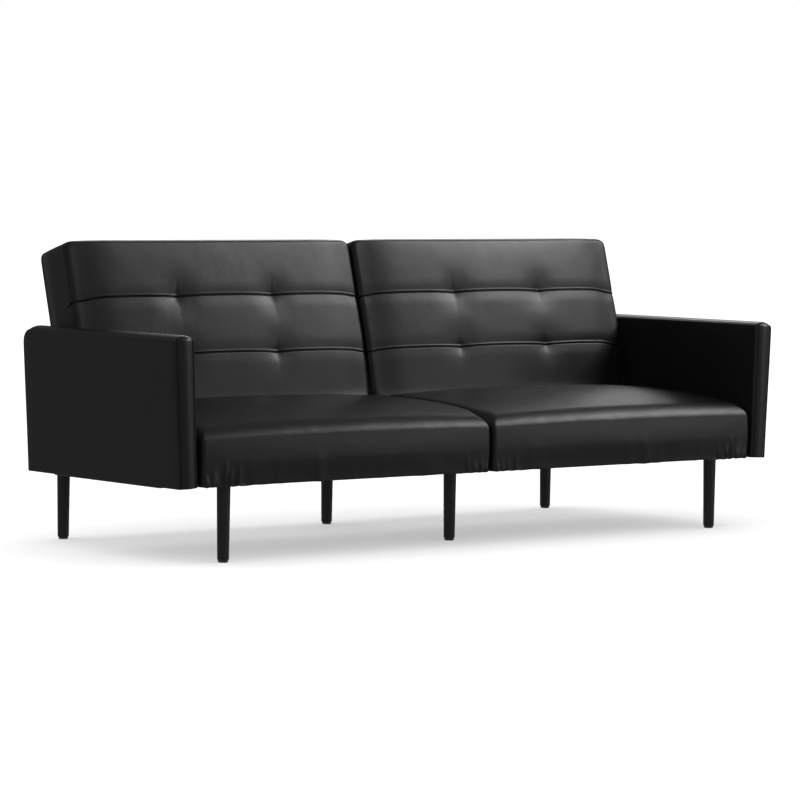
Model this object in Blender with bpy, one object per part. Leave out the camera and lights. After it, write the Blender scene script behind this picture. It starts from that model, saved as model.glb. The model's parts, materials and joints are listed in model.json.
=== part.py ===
"""Futon sofa bed: two seat cushions, two back panels that fold flat, two padded arms, six legs.

Metres, +Z up, +X to the right as seen from the front, +Y towards the rear. The origin is on the
floor under the middle of the object's box. "left" is the -X side and "right" is the +X side.
"""
from math import cos, hypot, pi, radians, sin

import bmesh
import bpy

# Clearances
TOUCH = 0.0003            # between pieces that rest on or against each other
RUN = 0.0008              # between hinge plates that turn past each other
PIN_CLEAR = 0.0003        # round a hinge pin

# Arms
ARM_SPAN = 1.950          # outside to outside of the arms, at their feet
ARM_DEPTH = 0.666
ARM_HEIGHT = 0.363
ARM_THICKNESS = 0.0546
ARM_BASE = 0.187          # floor to the underside of an arm
ARM_LEAN = radians(2.4)   # outwards
ARM_PADDING = 0.008
ARM_REAR_CORNER = 0.035
ARM_FRONT_CORNER = 0.012
ARM_BOARD_EDGE = 0.004

# Seat
SEAT_ARM_GAP = 0.0104     # between a seat cushion and the foot of an arm
SEAT_SPLIT = 0.010        # between the two seat cushions
SEAT_DEPTH = 0.449
SEAT_BASE = 0.190         # floor to the hem of a seat cover
SEAT_TOP = 0.370
SEAT_EDGE = 0.024
COVER = 0.0015            # thickness of the faux leather

# Back panels, in their own frame: Z up the face, Y from the front to the rear, pivot at zero
RECLINE = radians(15.58)  # from upright, in the sitting position
BACK_SIDE_INSET = 0.003   # how far a back panel stops short of the seat's end
BACK_SPLIT = 0.015        # between the two back panels
BACK_HEIGHT = 0.503
BACK_THICKNESS = 0.1355
BACK_EDGE = 0.022
PIVOT_DEPTH = 0.050       # pivot behind the front face
PIVOT_RISE = 0.050        # pivot above the lower edge
SEAT_BACK_GAP = 0.0054    # between the seat and the arc that a panel's lower corner sweeps
FLAT_STEP = 0.005         # height of a flat panel's face above the seat's corner line
BACK_BOARD = 0.012
LINING = 0.0012

# Wooden frame under the seat
OVERALL_DEPTH = 0.752
RAIL_HEIGHT = 0.070
RAIL_THICKNESS = 0.022
FRONT_RAIL_THICKNESS = 0.045
LOW_RAIL_HEIGHT = 0.024   # where the rails run on under the back panels
REAR_RAIL_WIDTH = 0.0617

# Springs and dust covers
WIRE = 0.0036
SPRING_COUNT = 8
SPRING_WAVES = 6
SPRING_SWING = 0.014
SPRING_INSET = 0.012      # spring ends on top of the front and rear rails
DUST_COVER = 0.0012
DUST_SIDE_INSET = 0.055
DUST_INNER_INSET = 0.028

# Legs
LEG_TOP_RADIUS = 0.0170
LEG_FOOT_RADIUS = 0.0145
GLIDE_RADIUS = 0.0125
GLIDE_HEIGHT = 0.006
PLATE_SIZE = 0.050
PLATE_THICKNESS = 0.003
FRONT_LEG_INSET = 0.099   # from the seat's end to the middle of a front leg
FRONT_LEG_BACK = 0.047    # from the arm fronts to the middle of a front leg
REAR_LEG_INSET = 0.089
REAR_LEG_FORE = 0.018     # from the rear of the frame to the middle of a rear leg
MIDDLE_FRONT_BACK = 0.167
MIDDLE_REAR_FORE = 0.063

# Hinges
PIN_RADIUS = 0.005
RIVET_HEAD_RADIUS = 0.009
RIVET_HEAD = 0.0016
OUTER_STANDOFF = 0.0028   # between a panel's end and its outer leaf
OUTER_LEAF = 0.003
OUTER_BRACKET = 0.004
CENTRE_STANDOFF = 0.0024
CENTRE_BRACKET = 0.003
KNUCKLE_RADIUS = 0.016
BRACKET_HALF_FOOT = 0.032
FOOT_THICKNESS = 0.003
LEAF_HALF_WIDTH = 0.020
LEAF_REACH = 0.130        # how far a leaf reaches up the panel from the pivot
LEAF_PAD_START = 0.050    # where its raised pad begins

# Arm brackets
ARM_BRACKET = 0.003
ARM_BRACKET_FRONT = 0.100
ARM_BRACKET_LENGTH = 0.460
ARM_BRACKET_INSET = 0.012
ARM_BRACKET_REACH = 0.046  # how far it reaches in under the end rail

# Worked out from the sizes above
FRONT = -OVERALL_DEPTH / 2
REAR = OVERALL_DEPTH / 2
ARM_OUT = ARM_SPAN / 2
SEAT_END = ARM_OUT - ARM_THICKNESS - SEAT_ARM_GAP
SEAT_IN = SEAT_SPLIT / 2
SEAT_REAR = FRONT + SEAT_DEPTH
BACK_END = SEAT_END - BACK_SIDE_INSET
BACK_IN = BACK_SPLIT / 2
LINED = COVER + TOUCH     # from a cover's outside to whatever lies against its inside
RAIL_BASE = SEAT_BASE
PLATE_BASE = RAIL_BASE - TOUCH - PLATE_THICKNESS
LEG_TOP = PLATE_BASE - TOUCH
RAIL_TOP = RAIL_BASE + RAIL_HEIGHT
LOW_RAIL_TOP = RAIL_BASE + LOW_RAIL_HEIGHT
REAR_RAIL_FRONT = REAR - REAR_RAIL_WIDTH
SEAT_FRAME_REAR = SEAT_REAR - SEAT_EDGE
REAR_HEM = LOW_RAIL_TOP + TOUCH
ARM_EDGE = ARM_PADDING + ARM_BOARD_EDGE / 2
SPRING_LEVEL = RAIL_TOP + TOUCH + WIRE / 2
FOAM_BASE = SPRING_LEVEL + WIRE / 2 + TOUCH
CORNER_SWEEP = hypot(PIVOT_DEPTH - BACK_EDGE, PIVOT_RISE - BACK_EDGE) + BACK_EDGE
PIVOT_Y = SEAT_REAR + SEAT_BACK_GAP + CORNER_SWEEP
PIVOT_Z = SEAT_TOP + FLAT_STEP - PIVOT_DEPTH
BACK_REAR = BACK_THICKNESS - PIVOT_DEPTH

SIDES = ((-1, "left"), (1, "right"))


def new_material(name, colour, roughness, metallic=0.0):
    """A plain Principled material."""
    material = bpy.data.materials.new(name)
    material.use_nodes = True
    shader = material.node_tree.nodes["Principled BSDF"]
    shader.inputs["Base Color"].default_value = (*colour, 1.0)
    shader.inputs["Roughness"].default_value = roughness
    shader.inputs["Metallic"].default_value = metallic
    return material


def add_object(name, mesh, look, parent=None):
    """Put a mesh into the scene with its material and its parent."""
    piece = bpy.data.objects.new(name, mesh)
    bpy.context.scene.collection.objects.link(piece)
    piece.parent = parent
    if look:
        mesh.materials.append(look)
    return piece


def finish_mesh(bm, name):
    """Turn a bmesh into a mesh whose faces point out."""
    bmesh.ops.recalc_face_normals(bm, faces=bm.faces)
    mesh = bpy.data.meshes.new(name)
    bm.to_mesh(mesh)
    bm.free()
    return mesh


def box_mesh(low, high):
    """A bmesh box between two corners, given in any order along X."""
    bm = bmesh.new()
    bmesh.ops.create_cube(bm, size=1.0)
    for vert in bm.verts:
        vert.co = [(a + b) / 2 + abs(b - a) * c for a, b, c in zip(low, high, vert.co)]
    return bm


def bevel(piece, width, segments=3, limit=radians(40)):
    """Round the sharp edges of a piece."""
    rounding = piece.modifiers.new("edges", "BEVEL")
    rounding.width = width
    rounding.segments = segments
    rounding.limit_method = "ANGLE"
    rounding.angle_limit = limit
    rounding.use_clamp_overlap = False


def block(name, low, high, look, edge=0.0, parent=None):
    """A solid box, with rounded edges where edge is given."""
    piece = add_object(name, finish_mesh(box_mesh(low, high), name), look, parent)
    if edge:
        bevel(piece, edge)
    return piece


def skin(piece, wall):
    """Give an open surface a wall that grows inwards."""
    solid = piece.modifiers.new("wall", "SOLIDIFY")
    solid.thickness = wall
    solid.offset = -1.0
    solid.use_even_offset = True


def open_cover(name, low, high, open_side, look, edge, parent=None):
    """A fitted cover: a rounded box without the face on its open side."""
    bm = box_mesh(low, high)
    bmesh.ops.recalc_face_normals(bm, faces=bm.faces)
    bm.normal_update()
    gone = [face for face in bm.faces if face.normal.dot(open_side) > 0.9]
    bmesh.ops.delete(bm, geom=gone, context="FACES_ONLY")
    mesh = bpy.data.meshes.new(name)
    bm.to_mesh(mesh)
    bm.free()
    piece = add_object(name, mesh, look, parent)
    bevel(piece, edge)
    skin(piece, COVER)
    return piece


def turned(name, profile, look, steps=24, along_x=False):
    """A solid of revolution. profile lists (radius, height) from one end to the other."""
    bm = bmesh.new()
    rings = []
    for radius, height in profile:
        ring = []
        for i in range(steps):
            a, b = radius * cos(2 * pi * i / steps), radius * sin(2 * pi * i / steps)
            ring.append(bm.verts.new((height, a, b) if along_x else (a, b, height)))
        rings.append(ring)
    for one, two in zip(rings, rings[1:]):
        for i in range(steps):
            j = (i + 1) % steps
            bm.faces.new((one[i], one[j], two[j], two[i]))
    bm.faces.new(rings[0])
    bm.faces.new(rings[-1])
    mesh = finish_mesh(bm, name)
    mesh.shade_smooth()
    mesh.set_sharp_from_angle(angle=radians(35))
    return add_object(name, mesh, look)


def arc(centre, radius, start, end, steps):
    """Points along an arc, from the start angle to the end angle in degrees."""
    turns = [radians(start + (end - start) * i / steps) for i in range(steps + 1)]
    return [(centre[0] + radius * cos(t), centre[1] + radius * sin(t)) for t in turns]


def plate(name, outline, holes, x_low, x_high, look, parent=None):
    """A flat plate across X. outline and holes are loops of (y, z) points."""
    bm = bmesh.new()
    edges = []
    for loop in (outline, *holes):
        verts = [bm.verts.new((x_low, y, z)) for y, z in loop]
        edges += [bm.edges.new((a, b)) for a, b in zip(verts, verts[1:] + verts[:1])]
    bmesh.ops.triangle_fill(bm, edges=edges, use_beauty=True)
    swept = bmesh.ops.extrude_face_region(bm, geom=list(bm.faces), use_keep_orig=True)
    moved = [item for item in swept["geom"] if isinstance(item, bmesh.types.BMVert)]
    bmesh.ops.translate(bm, verts=moved, vec=(x_high - x_low, 0, 0))
    return add_object(name, finish_mesh(bm, name), look, parent)


def bar(name, outline, y_low, y_high, look):
    """A bar of one section along Y. outline is a loop of (x, z) points."""
    bm = bmesh.new()
    face = bm.faces.new([bm.verts.new((x, y_low, z)) for x, z in outline])
    swept = bmesh.ops.extrude_face_region(bm, geom=[face], use_keep_orig=True)
    moved = [item for item in swept["geom"] if isinstance(item, bmesh.types.BMVert)]
    bmesh.ops.translate(bm, verts=moved, vec=(0, y_high - y_low, 0))
    return add_object(name, finish_mesh(bm, name), look)


def combine(piece, other, operation):
    """Weld another object to a piece or cut it away, and leave the other as a hidden helper."""
    other.hide_render = True
    other.display_type = "WIRE"
    step = piece.modifiers.new(operation.lower(), "BOOLEAN")
    step.operation = operation
    step.object = other


def empty(name, place, turn):
    """A frame that the pieces of an arm or a back panel are parented to."""
    frame = bpy.data.objects.new(name, None)
    frame.location = place
    frame.rotation_euler = turn
    bpy.context.scene.collection.objects.link(frame)
    return frame


def make_leg(name, x, y, plate_y, looks):
    """A tapered leg with its floor glide and the plate that screws to the frame."""
    glide = turned(f"glide_{name}", [
        (GLIDE_RADIUS - 0.002, 0.0), (GLIDE_RADIUS, 0.002), (GLIDE_RADIUS, GLIDE_HEIGHT - TOUCH),
    ], looks["plastic"])
    leg = turned(f"leg_{name}", [
        (LEG_FOOT_RADIUS - 0.001, GLIDE_HEIGHT), (LEG_FOOT_RADIUS, GLIDE_HEIGHT + 0.002),
        (LEG_TOP_RADIUS, LEG_TOP),
    ], looks["leg"], steps=32)
    for piece in (glide, leg):
        piece.location = (x, y, 0)
    half = PLATE_SIZE / 2
    block(f"leg_plate_{name}", (x - half, plate_y - half, PLATE_BASE),
          (x + half, plate_y + half, PLATE_BASE + PLATE_THICKNESS), looks["steel"])


def make_legs(looks):
    """Two front legs, two rear legs, and two on the centre rails."""
    half = PLATE_SIZE / 2
    rear_plate = REAR - half
    for side, word in SIDES:
        y = FRONT + FRONT_LEG_BACK
        make_leg(f"front_{word}", side * (SEAT_END - FRONT_LEG_INSET), y, y, looks)
        y = REAR - REAR_LEG_FORE
        make_leg(f"rear_{word}", side * (SEAT_END - REAR_LEG_INSET), y, rear_plate, looks)
    y = FRONT + MIDDLE_FRONT_BACK
    make_leg("middle_front", 0, y, y, looks)
    y = REAR - MIDDLE_REAR_FORE
    make_leg("middle_rear", 0, y, y, looks)


def side_rail(name, x_low, x_high, look):
    """A rail that is tall under the seat and low where it runs on under the back panel."""
    front = FRONT + LINED + FRONT_RAIL_THICKNESS + TOUCH
    rear = REAR_RAIL_FRONT - TOUCH
    outline = [(front, RAIL_BASE), (rear, RAIL_BASE), (rear, LOW_RAIL_TOP),
               (SEAT_FRAME_REAR, LOW_RAIL_TOP), (SEAT_FRAME_REAR, RAIL_TOP), (front, RAIL_TOP)]
    plate(name, outline, [], x_low, x_high, look)


def make_frame(looks):
    """The wooden frame of each seat, and the rear rail that ties the two together."""
    wood = looks["wood"]
    inner = SEAT_IN + LINED
    outer = SEAT_END - LINED
    for side, word in SIDES:
        ends = sorted((side * (outer - RAIL_THICKNESS), side * outer))
        side_rail(f"{word}_end_rail", *ends, wood)
        ends = sorted((side * inner, side * (inner + RAIL_THICKNESS)))
        side_rail(f"{word}_centre_rail", *ends, wood)
        rail = block(f"{word}_front_rail", (side * inner, FRONT + LINED, RAIL_BASE),
                     (side * outer, FRONT + LINED + FRONT_RAIL_THICKNESS, RAIL_TOP), wood)
        front = FRONT + LINED + TOUCH
        weighted_bevel(rail, SEAT_EDGE - LINED, lambda a, b: max(a.y, b.y) < front and a.x == b.x)
        cross_in = inner + RAIL_THICKNESS + TOUCH
        cross_out = outer - RAIL_THICKNESS - TOUCH
        block(f"{word}_seat_rear_rail",
              (side * cross_in, SEAT_FRAME_REAR - RAIL_THICKNESS, RAIL_BASE),
              (side * cross_out, SEAT_FRAME_REAR, RAIL_TOP), wood)
    block("rear_cross_rail", (-outer, REAR_RAIL_FRONT, RAIL_BASE), (outer, REAR, LOW_RAIL_TOP), wood)


def spring_deck(name, x_low, x_high, look):
    """Sinuous springs from the front rail to the rear rail, tied by a rod at each end."""
    y_low = FRONT + LINED + SPRING_INSET
    y_high = SEAT_FRAME_REAR - SPRING_INSET
    bm = bmesh.new()
    springs = []
    points = 2 * SPRING_WAVES
    for i in range(SPRING_COUNT):
        x = x_low + (x_high - x_low) * i / (SPRING_COUNT - 1)
        line = []
        for j in range(points + 1):
            inside = 0 < j < points and 0 < i < SPRING_COUNT - 1
            swing = SPRING_SWING * (-1) ** j if inside else 0.0
            line.append(bm.verts.new((x + swing, y_low + (y_high - y_low) * j / points, SPRING_LEVEL)))
        springs.append(line)
    for one, two in zip(springs, springs[1:]):
        bm.faces.new(one + two[::-1])
    piece = add_object(name, finish_mesh(bm, name), look)
    wires = piece.modifiers.new("wires", "WIREFRAME")
    wires.thickness = WIRE
    wires.use_even_offset = False
    wires.use_boundary = True
    wires.use_replace = True


def make_seat(side, word, looks):
    """Springs, foam, cover and dust cover of one seat."""
    spring_deck(f"{word}_seat_springs",
                *sorted((side * (SEAT_IN + LINED + RAIL_THICKNESS + SPRING_INSET),
                         side * (SEAT_END - LINED - RAIL_THICKNESS - SPRING_INSET))), looks["wire"])
    block(f"{word}_seat_foam", (side * (SEAT_IN + LINED), FRONT + LINED, FOAM_BASE),
          (side * (SEAT_END - LINED), SEAT_REAR - LINED, SEAT_TOP - LINED),
          looks["foam"], SEAT_EDGE - LINED)
    cover = open_cover(f"{word}_seat_cover", (side * SEAT_IN, FRONT, SEAT_BASE),
                       (side * SEAT_END, SEAT_REAR, SEAT_TOP), (0, 0, -1), looks["vinyl"], SEAT_EDGE)
    spare = SEAT_SPLIT / 4
    hem = block(f"{word}_seat_rear_hem", (side * (SEAT_IN - spare), SEAT_FRAME_REAR, SEAT_BASE - spare),
                (side * (SEAT_END + spare), SEAT_REAR + spare, REAR_HEM), None)
    combine(cover, hem, "DIFFERENCE")
    dust_top = RAIL_BASE - TOUCH
    front = FRONT + FRONT_LEG_BACK + PLATE_SIZE / 2 + TOUCH
    block(f"{word}_dust_cover", (side * (SEAT_IN + DUST_INNER_INSET), front, dust_top - DUST_COVER),
          (side * (SEAT_END - DUST_SIDE_INSET), SEAT_FRAME_REAR, dust_top), looks["dust"])


def make_back(side, word, looks):
    """Board, foam, cover and lining of one back panel, in the frame of its pivot."""
    frame = empty(f"{word}_back_pivot", (0, PIVOT_Y, PIVOT_Z), (-RECLINE, 0, 0))
    top = BACK_HEIGHT - PIVOT_RISE
    lining_front = BACK_REAR - LINING
    board_rear = lining_front - TOUCH
    board_front = board_rear - BACK_BOARD
    inner, outer = side * (BACK_IN + LINED), side * (BACK_END - LINED)
    low, high = -PIVOT_RISE + LINED, top - LINED
    open_cover(f"{word}_back_cover", (side * BACK_IN, -PIVOT_DEPTH, -PIVOT_RISE),
               (side * BACK_END, BACK_REAR, top), (0, 1, 0), looks["vinyl"], BACK_EDGE, frame)
    inset = BACK_EDGE - LINED
    foam = block(f"{word}_back_foam", (inner, -PIVOT_DEPTH + LINED, low),
                 (outer, board_front - TOUCH, high), looks["foam"], 0.0, frame)
    round_front(foam, inset)
    sheet = {"board": (board_front, board_rear), "lining": (lining_front, BACK_REAR)}
    for kind, (front, rear) in sheet.items():
        piece = block(f"{word}_back_{kind}", (inner, front, low), (outer, rear, high),
                      looks["wood" if kind == "board" else "dust"], 0.0, frame)
        round_corners(piece, inset)
    return frame


def weighted_bevel(piece, width, chosen):
    """Round only the edges that chosen picks, by their two end points."""
    mesh = piece.data
    weights = mesh.attributes.new("bevel_weight_edge", "FLOAT", "EDGE")
    for i, edge in enumerate(mesh.edges):
        a, b = (mesh.vertices[k].co for k in edge.vertices)
        weights.data[i].value = 1.0 if chosen(a, b) else 0.0
    rounding = piece.modifiers.new("edges", "BEVEL")
    rounding.width = width
    rounding.segments = 3
    rounding.limit_method = "WEIGHT"


def round_front(piece, width):
    """Round the front edges of a slab and the four edges that run from front to rear."""
    front = min(v.co.y for v in piece.data.vertices)
    weighted_bevel(piece, width, lambda a, b: min(a.y, b.y) < front + TOUCH)


def round_corners(piece, width):
    """Round the four edges of a sheet that run from front to rear."""
    weighted_bevel(piece, width, lambda a, b: abs(a.y - b.y) > TOUCH)


def knuckle(foot_level, half_foot):
    """Outline of a hinge bracket: a foot that narrows to a round end at the pivot."""
    return [(PIVOT_Y + half_foot, foot_level), *arc((PIVOT_Y, PIVOT_Z), KNUCKLE_RADIUS, -12, 192, 12),
            (PIVOT_Y - half_foot, foot_level)]


def pin_hole(y, z):
    """The hole for a hinge pin."""
    return arc((y, z), PIN_RADIUS + PIN_CLEAR, 0, 345, 23)


def fixed_bracket(name, x_low, x_high, foot_low, foot_high, look):
    """A hinge bracket that stands on the low rails: an upright plate with a foot."""
    foot_base = LOW_RAIL_TOP + TOUCH
    upright = plate(name, knuckle(foot_base, BRACKET_HALF_FOOT), [pin_hole(PIVOT_Y, PIVOT_Z)],
                    x_low, x_high, look)
    foot = block(f"{name}_foot", (foot_low, PIVOT_Y - BRACKET_HALF_FOOT, foot_base),
                 (foot_high, PIVOT_Y + BRACKET_HALF_FOOT, foot_base + FOOT_THICKNESS), None)
    combine(upright, foot, "UNION")


def moving_leaf(name, face, away, standoff, thickness, look, frame):
    """A hinge leaf on a panel's end. face is the X of that end, and away points off the panel."""
    neck = KNUCKLE_RADIUS
    shoulder = LEAF_PAD_START - TOUCH
    outline = [*arc((0, 0), neck, 180, 360, 12), (neck, shoulder / 2), (LEAF_HALF_WIDTH, shoulder),
               (LEAF_HALF_WIDTH, LEAF_REACH), (-LEAF_HALF_WIDTH, LEAF_REACH),
               (-LEAF_HALF_WIDTH, shoulder), (-neck, shoulder / 2)]
    near = face + away * standoff
    ends = sorted((near, near + away * thickness))
    leaf = plate(name, outline, [pin_hole(0, 0)], *ends, look, frame)
    pad_half = LEAF_HALF_WIDTH - 0.002
    sink = near + away * thickness / 2
    pad = block(f"{name}_pad", (face + away * TOUCH, -pad_half, LEAF_PAD_START),
                (sink, pad_half, LEAF_REACH - 0.002), None, 0.0, frame)
    combine(leaf, pad, "UNION")


def rivet(name, x_low, x_high, look):
    """A hinge pin with a head at each end, between two X positions."""
    head, shank = RIVET_HEAD_RADIUS, PIN_RADIUS
    pin = turned(name, [(head, x_low), (head, x_low + RIVET_HEAD), (shank, x_low + RIVET_HEAD),
                        (shank, x_high - RIVET_HEAD), (head, x_high - RIVET_HEAD), (head, x_high)],
                 look, along_x=True)
    pin.location = (0, PIVOT_Y, PIVOT_Z)


def make_hinges(frames, looks):
    """An outer hinge at each end and one shared bracket between the two panels."""
    steel = looks["steel"]
    for side, word in SIDES:
        leaf_near = BACK_END + OUTER_STANDOFF
        bracket_near = leaf_near + OUTER_LEAF + RUN
        bracket_far = bracket_near + OUTER_BRACKET
        moving_leaf(f"{word}_outer_leaf", side * BACK_END, side, OUTER_STANDOFF, OUTER_LEAF,
                    steel, frames[word])
        ends = sorted((side * bracket_near, side * bracket_far))
        foot = sorted((side * (SEAT_END - LINED - RAIL_THICKNESS), side * bracket_far))
        fixed_bracket(f"{word}_outer_bracket", *ends, *foot, steel)
        pin = sorted((side * (leaf_near - RUN / 2 - RIVET_HEAD),
                      side * (bracket_far + RUN / 2 + RIVET_HEAD)))
        rivet(f"{word}_hinge_pin", *pin, steel)
        leaf = BACK_IN - CENTRE_STANDOFF - RUN - CENTRE_BRACKET / 2
        moving_leaf(f"{word}_centre_leaf", side * BACK_IN, -side, CENTRE_STANDOFF, leaf,
                    steel, frames[word])
    half = CENTRE_BRACKET / 2
    foot = SEAT_IN + LINED + RAIL_THICKNESS
    fixed_bracket("centre_bracket", -half, half, -foot, foot, steel)
    reach = BACK_IN - CENTRE_STANDOFF + RUN / 2 + RIVET_HEAD
    rivet("centre_hinge_pin", -reach, reach, steel)


def arm_outline(margin, foot):
    """Side outline of an arm, shrunk by a margin, open along the foot."""
    low, high = FRONT + margin, FRONT + ARM_DEPTH - margin
    top = ARM_HEIGHT - margin
    front, rear = ARM_FRONT_CORNER - margin, ARM_REAR_CORNER - margin
    return [(high, foot), *arc((high - rear, top - rear), rear, 0, 90, 6),
            *arc((low + front, top - front), front, 90, 180, 3), (low, foot)]


def arm_cover(name, x_low, x_high, look, frame):
    """The padded cover of an arm, open underneath."""
    bm = bmesh.new()
    outline = arm_outline(0.0, 0.0)
    sides = [[bm.verts.new((x, y, z)) for y, z in outline] for x in (x_low, x_high)]
    for loop in sides:
        bm.faces.new(loop)
    for i in range(len(outline) - 1):
        bm.faces.new((sides[0][i], sides[0][i + 1], sides[1][i + 1], sides[1][i]))
    piece = add_object(name, finish_mesh(bm, name), look, frame)
    bevel(piece, ARM_EDGE, 2, radians(60))
    skin(piece, ARM_PADDING)


def make_arm(side, word, looks):
    """An arm: a board in a padded cover, on a cranked bracket under the end rail."""
    frame = empty(f"{word}_arm_foot", (side * ARM_OUT, 0, ARM_BASE), (0, side * ARM_LEAN, 0))
    arm_cover(f"{word}_arm_cover", *sorted((0.0, -side * ARM_THICKNESS)), looks["vinyl"], frame)
    margin = ARM_PADDING + TOUCH
    faces = sorted((-side * margin, -side * (ARM_THICKNESS - margin)))
    board = plate(f"{word}_arm_board", arm_outline(margin, 0.0), [], *faces, looks["wood"], frame)
    bevel(board, ARM_BOARD_EDGE, 2, radians(60))
    out = ARM_OUT - ARM_BRACKET_INSET
    web = SEAT_END - LINED
    reach = web - ARM_BRACKET_REACH
    low, high = ARM_BASE - TOUCH - ARM_BRACKET, RAIL_BASE - TOUCH - ARM_BRACKET
    thick = ARM_BRACKET
    section = [(out, low), (out, low + thick), (web, low + thick), (web, high + thick),
               (reach, high + thick), (reach, high), (web - thick, high), (web - thick, low)]
    start = FRONT + ARM_BRACKET_FRONT
    bar(f"{word}_arm_bracket", [(side * x, z) for x, z in section],
        start, start + ARM_BRACKET_LENGTH, looks["steel"])


def main():
    """Clear the scene and build every piece."""
    for old in list(bpy.data.objects):
        bpy.data.objects.remove(old, do_unlink=True)
    looks = {
        "vinyl": new_material("black_vinyl", (0.012, 0.012, 0.013), 0.38),
        "leg": new_material("black_lacquer", (0.010, 0.009, 0.011), 0.32),
        "plastic": new_material("black_plastic", (0.015, 0.015, 0.015), 0.55),
        "steel": new_material("black_steel", (0.03, 0.03, 0.032), 0.45, 0.8),
        "wire": new_material("spring_wire", (0.35, 0.34, 0.32), 0.35, 1.0),
        "wood": new_material("stained_wood", (0.025, 0.019, 0.015), 0.60),
        "foam": new_material("foam", (0.82, 0.74, 0.50), 0.9),
        "dust": new_material("black_nonwoven", (0.02, 0.02, 0.02), 0.95),
    }
    make_legs(looks)
    make_frame(looks)
    frames = {}
    for side, word in SIDES:
        make_seat(side, word, looks)
        frames[word] = make_back(side, word, looks)
        make_arm(side, word, looks)
    make_hinges(frames, looks)


main()
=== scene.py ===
# %% [markdown]
# # A folding sofa in black faux leather
#
# This lesson dresses a finished frame. The frame holds the wood, the hinges and the legs, and plain
# blocks where the cushions go. Here each block is replaced by a cushion that looks sewn and stuffed,
# and every other part gets a finish of its own. Nothing in the frame is moved or resized.

# %% Load the frame
import json
from math import cos, degrees, radians, sin

import bpy
import numpy as np
from mathutils import Matrix, Vector


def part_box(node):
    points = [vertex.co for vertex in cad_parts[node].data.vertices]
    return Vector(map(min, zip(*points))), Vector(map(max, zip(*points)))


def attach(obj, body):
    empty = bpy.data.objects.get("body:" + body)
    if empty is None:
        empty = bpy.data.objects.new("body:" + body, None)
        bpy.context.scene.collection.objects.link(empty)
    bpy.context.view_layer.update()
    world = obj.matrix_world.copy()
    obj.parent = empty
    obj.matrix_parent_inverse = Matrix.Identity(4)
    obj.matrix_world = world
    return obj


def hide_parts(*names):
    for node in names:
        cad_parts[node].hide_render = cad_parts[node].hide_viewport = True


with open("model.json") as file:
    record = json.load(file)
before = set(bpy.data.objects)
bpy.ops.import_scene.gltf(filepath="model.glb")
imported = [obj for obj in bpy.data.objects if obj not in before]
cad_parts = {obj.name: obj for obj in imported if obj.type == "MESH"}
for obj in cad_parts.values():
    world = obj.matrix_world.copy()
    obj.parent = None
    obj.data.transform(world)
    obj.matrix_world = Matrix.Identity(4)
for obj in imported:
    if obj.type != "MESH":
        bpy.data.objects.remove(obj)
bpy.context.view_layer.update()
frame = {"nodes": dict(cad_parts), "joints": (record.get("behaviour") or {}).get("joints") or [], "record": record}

NODES = frame["nodes"]
RECORD = frame["record"]
SIDES = {"left": -1, "right": 1}

# %% [markdown]
# ## The camera
#
# A long lens far away keeps the lines of a sofa straight. It stands to the left of the sofa and a
# little above it, and is turned through three angles: to the right, down, and a slight roll.

# %% Camera
CAMERA_PLACE = Vector((-6.036, -7.525, 0.954))
CAMERA_YAW, CAMERA_PITCH, CAMERA_ROLL = radians(38.73), radians(-3.565), radians(0.631)
CAMERA_LENS = 165.1
CAMERA_FILM = 36
CAMERA_REACH = 100


def aim(yaw, pitch, roll):
    """The rotation of a camera that looks along +Y turned by yaw, pitch and roll."""
    ahead = Vector((sin(yaw) * cos(pitch), cos(yaw) * cos(pitch), sin(pitch)))
    level = Vector((cos(yaw), -sin(yaw), 0))
    above = level.cross(ahead)
    right = cos(roll) * level + sin(roll) * above
    up = cos(roll) * above - sin(roll) * level
    return Matrix((right, up, -ahead)).transposed().to_4x4()


camera = bpy.data.objects.new("camera", bpy.data.cameras.new("camera"))
camera.matrix_world = Matrix.Translation(CAMERA_PLACE) @ aim(CAMERA_YAW, CAMERA_PITCH, CAMERA_ROLL)
camera.data.lens = CAMERA_LENS
camera.data.sensor_width = CAMERA_FILM
camera.data.clip_end = CAMERA_REACH
bpy.context.scene.collection.objects.link(camera)
bpy.context.scene.camera = camera
print("camera", round(CAMERA_PLACE.length, 2), "m from the middle of the sofa's foot")

# %% [markdown]
# ## Shader sums written as sums
#
# A shader is a graph, and a graph of ten Math nodes is hard to read. `Wire` wraps one socket, so that
# `0.3 + 0.1 * cloud` adds the Math nodes by itself. `Graph.add` makes any other node: it takes the
# node's type, then its settings, and then the values or wires of its sockets.

# %% Wires
class Wire:
    """One output socket that can be used in a sum."""

    def __init__(self, graph, socket):
        self.graph, self.socket = graph, socket

    def _math(self, operation, first, second):
        return self.graph.add("ShaderNodeMath", {"operation": operation}, {0: first, 1: second})

    def __add__(self, other):
        return self._math("ADD", self, other)

    def __radd__(self, other):
        return self._math("ADD", other, self)

    def __sub__(self, other):
        return self._math("SUBTRACT", self, other)

    def __rsub__(self, other):
        return self._math("SUBTRACT", other, self)

    def __mul__(self, other):
        return self._math("MULTIPLY", self, other)

    def __rmul__(self, other):
        return self._math("MULTIPLY", other, self)

    def clamp(self):
        """The same value, kept between 0 and 1."""
        return self.graph.add("ShaderNodeMath", {"operation": "ADD", "use_clamp": True}, {0: self, 1: 0.0})


print("a wire can be added, subtracted, multiplied and clamped")

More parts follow.
